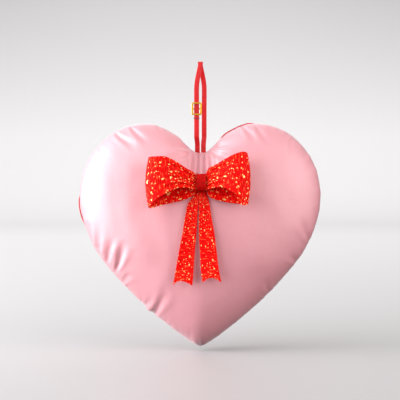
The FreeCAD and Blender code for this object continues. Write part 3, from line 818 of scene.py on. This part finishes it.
def make_tail(side, lift, notch_lean, nodes):
    plan = tail_plans[side]
    knots = [Vector(station) for station in plan]
    course = smooth_line(knots, 14, False)
    top_z = hinge_z + 0.0045

    def on_tail(across, along):
        place = along * (len(course) - 1)
        first = min(int(place), len(course) - 2)
        middle, drop, width = course[first].lerp(course[first + 1], place - first)
        notch = 0.0056 * math.sin(math.pi * across ** notch_lean) * along ** 6
        z = top_z - drop + notch
        y = lying_y(z)
        gather = 1 - smoothstep(0.02, 0.3, along)
        y -= 0.0005 * gather * math.sin(2 * math.pi * 2.5 * across + lift)
        y -= 0.0011 * smoothstep(0.2, 1, along) * (1 + math.sin(5 * along + lift + 1.6 * across))
        return Vector((middle + (across - 0.5) * width, y, z))

    length = plan[-1][1]
    tail = lay_ribbon("printed_tail_" + side, 36, 150, ribbon_thickness, (0.024, length), on_tail)
    tail.data.materials.append(tail_print)
    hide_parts(*nodes)
    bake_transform(tail)


make_tail("left", 0.4, 0.75, ["bow_tail_left", "bow_tail_fold"])
make_tail("right", 2.2, 0.9, ["bow_tail_right"])


# Plain pale floor and backdrop in one curved sheet, soft light from the front left, camera.
floor_z = tip_z - 0.0035
bpy.ops.mesh.primitive_plane_add(size=1)
backdrop = piece_named("backdrop")
backdrop.select_set(True)
bpy.context.view_layer.objects.active = backdrop
backdrop.data.vertices[0].co = (-5, -4, floor_z)
backdrop.data.vertices[1].co = (5, -4, floor_z)
backdrop.data.vertices[2].co = (-5, 2.2, floor_z)
backdrop.data.vertices[3].co = (5, 2.2, floor_z)
bpy.ops.object.mode_set(mode="EDIT")
bpy.ops.mesh.select_all(action="SELECT")
bpy.ops.mesh.select_mode(type="EDGE")
bpy.ops.mesh.select_all(action="DESELECT")
bpy.ops.object.mode_set(mode="OBJECT")
for line in backdrop.data.edges:
    ends = [backdrop.data.vertices[k].co.y for k in line.vertices]
    line.select = min(ends) > 2
bpy.ops.object.mode_set(mode="EDIT")
for step in range(1, 9):
    rise = math.radians(90 * step / 8)
    before = math.radians(90 * (step - 1) / 8)
    bpy.ops.mesh.extrude_region_move(TRANSFORM_OT_translate={
        "value": (0, math.sin(rise) - math.sin(before), math.cos(before) - math.cos(rise))})
bpy.ops.mesh.extrude_region_move(TRANSFORM_OT_translate={"value": (0, 0, 3)})
bpy.ops.mesh.select_all(action="SELECT")
bpy.ops.mesh.normals_make_consistent(inside=False)
bpy.ops.object.mode_set(mode="OBJECT")
bpy.ops.object.shade_smooth()
# Coated paper: pale and even, with a faint blurred reflection low down.
paper, shader = new_material("coated_backdrop_paper", {"Roughness": 0.42, "Specular IOR Level": 0.45})
place = add_node(paper, "TexCoord", {}, {}).outputs["Object"]
grain = add_node(paper, "TexNoise", {"Scale": 60}, {"Vector": place}).outputs["Fac"]
white = add_node(paper, "Mix", {"data_type": "RGBA", 6: linear("#EBEAEA"), 7: linear("#EDECEC")},
                 {"Factor": grain}).outputs[2]
# The paper's colour carries painted shade: a little darker up the wall and towards the front of the floor,
# where the light falls off.
apart = add_node(paper, "SeparateXYZ", {}, {"Vector": place})
painted_wall_shade = add_node(paper, "MapRange", {1: -0.1, 2: 0.75, 4: 0.85},
                  {"Value": apart.outputs["Z"]}).outputs[0]
# Painted shade towards the front of the floor.
forward = add_node(paper, "MapRange", {1: 1.75, 2: -0.55},
                   {"Value": apart.outputs["Y"]}).outputs[0]
shade = add_node(paper, "Math", {"operation": "MAXIMUM"}, {0: painted_wall_shade, 1: forward}).outputs[0]
paper_with_painted_shade = add_node(paper, "Mix", {"data_type": "RGBA", 7: linear("#B1AFAF")},
                        {"Factor": shade, 6: white}).outputs[2]
paper.node_tree.links.new(shader.inputs["Base Color"], paper_with_painted_shade)
backdrop.data.materials.append(paper)


def soft_light(name, place, target, size, watts, tint):
    """A square area light at a place, turned towards a target."""
    bpy.ops.object.light_add(type="AREA", location=place)
    light = bpy.context.object
    light.name = name
    light.data.size = size
    light.data.energy = watts
    light.data.color = linear(tint)[:3]
    light.rotation_euler = (Vector(target) - Vector(place)).to_track_quat("-Z", "Y").to_euler()


middle = (0, 0, -0.2)
soft_light("key", (-1.65, -0.62, 0.2), middle, 2.4, 53, "#F9FCFF")
soft_light("fill", (1.7, -1.1, 0.05), middle, 2.0, 51, "#FFF8F6")
soft_light("side", (-1.35, -0.25, -0.02), (0, 0, -0.22), 0.6, 17, "#FFFFFF")
soft_light("backdrop_light", (0, 1.2, 1.5), (0, 3.2, -0.1), 1.4, 12, "#FFFFFF")
# The studio is pale above and on the left, and dim towards the floor on the right.
world = bpy.data.worlds.new("studio")
world.use_nodes = True
bpy.context.scene.world = world
facing = add_node(world, "TexCoord", {}, {}).outputs["Generated"]
side = add_node(world, "SeparateXYZ", {}, {"Vector": facing})
height = add_node(world, "Math", {"operation": "MULTIPLY_ADD", 1: -0.75},
                  {0: side.outputs["X"], 2: side.outputs["Z"]})
lift = add_node(world, "MapRange", {1: -0.5, 2: 0.6}, {"Value": height.outputs[0]}).outputs[0]
glow = add_node(world, "Mix", {"data_type": "RGBA", 6: linear("#22181A"), 7: linear("#F8F7F8")},
                {"Factor": lift}).outputs[2]
world.node_tree.links.new(world.node_tree.nodes["Background"].inputs["Color"], glow)
world.node_tree.nodes["Background"].inputs["Strength"].default_value = 0.9
backdrop.visible_diffuse = False
backdrop.visible_glossy = False
bpy.context.scene.view_settings.view_transform = "Standard"

camera_turn = math.radians(-1)
camera_rise = math.radians(3)
camera_distance = 1.6
aim = Vector((-0.0005, 0, -0.165))
away = Vector((math.sin(camera_turn) * math.cos(camera_rise), -math.cos(camera_turn) * math.cos(camera_rise),
               math.sin(camera_rise)))
bpy.ops.object.camera_add(location=aim + away * camera_distance)
camera = bpy.context.object
camera.rotation_euler = (-away).to_track_quat("-Z", "Y").to_euler()
camera.data.sensor_width = 36
camera.data.lens = 36 * camera_distance / 0.49
bpy.context.scene.camera = camera
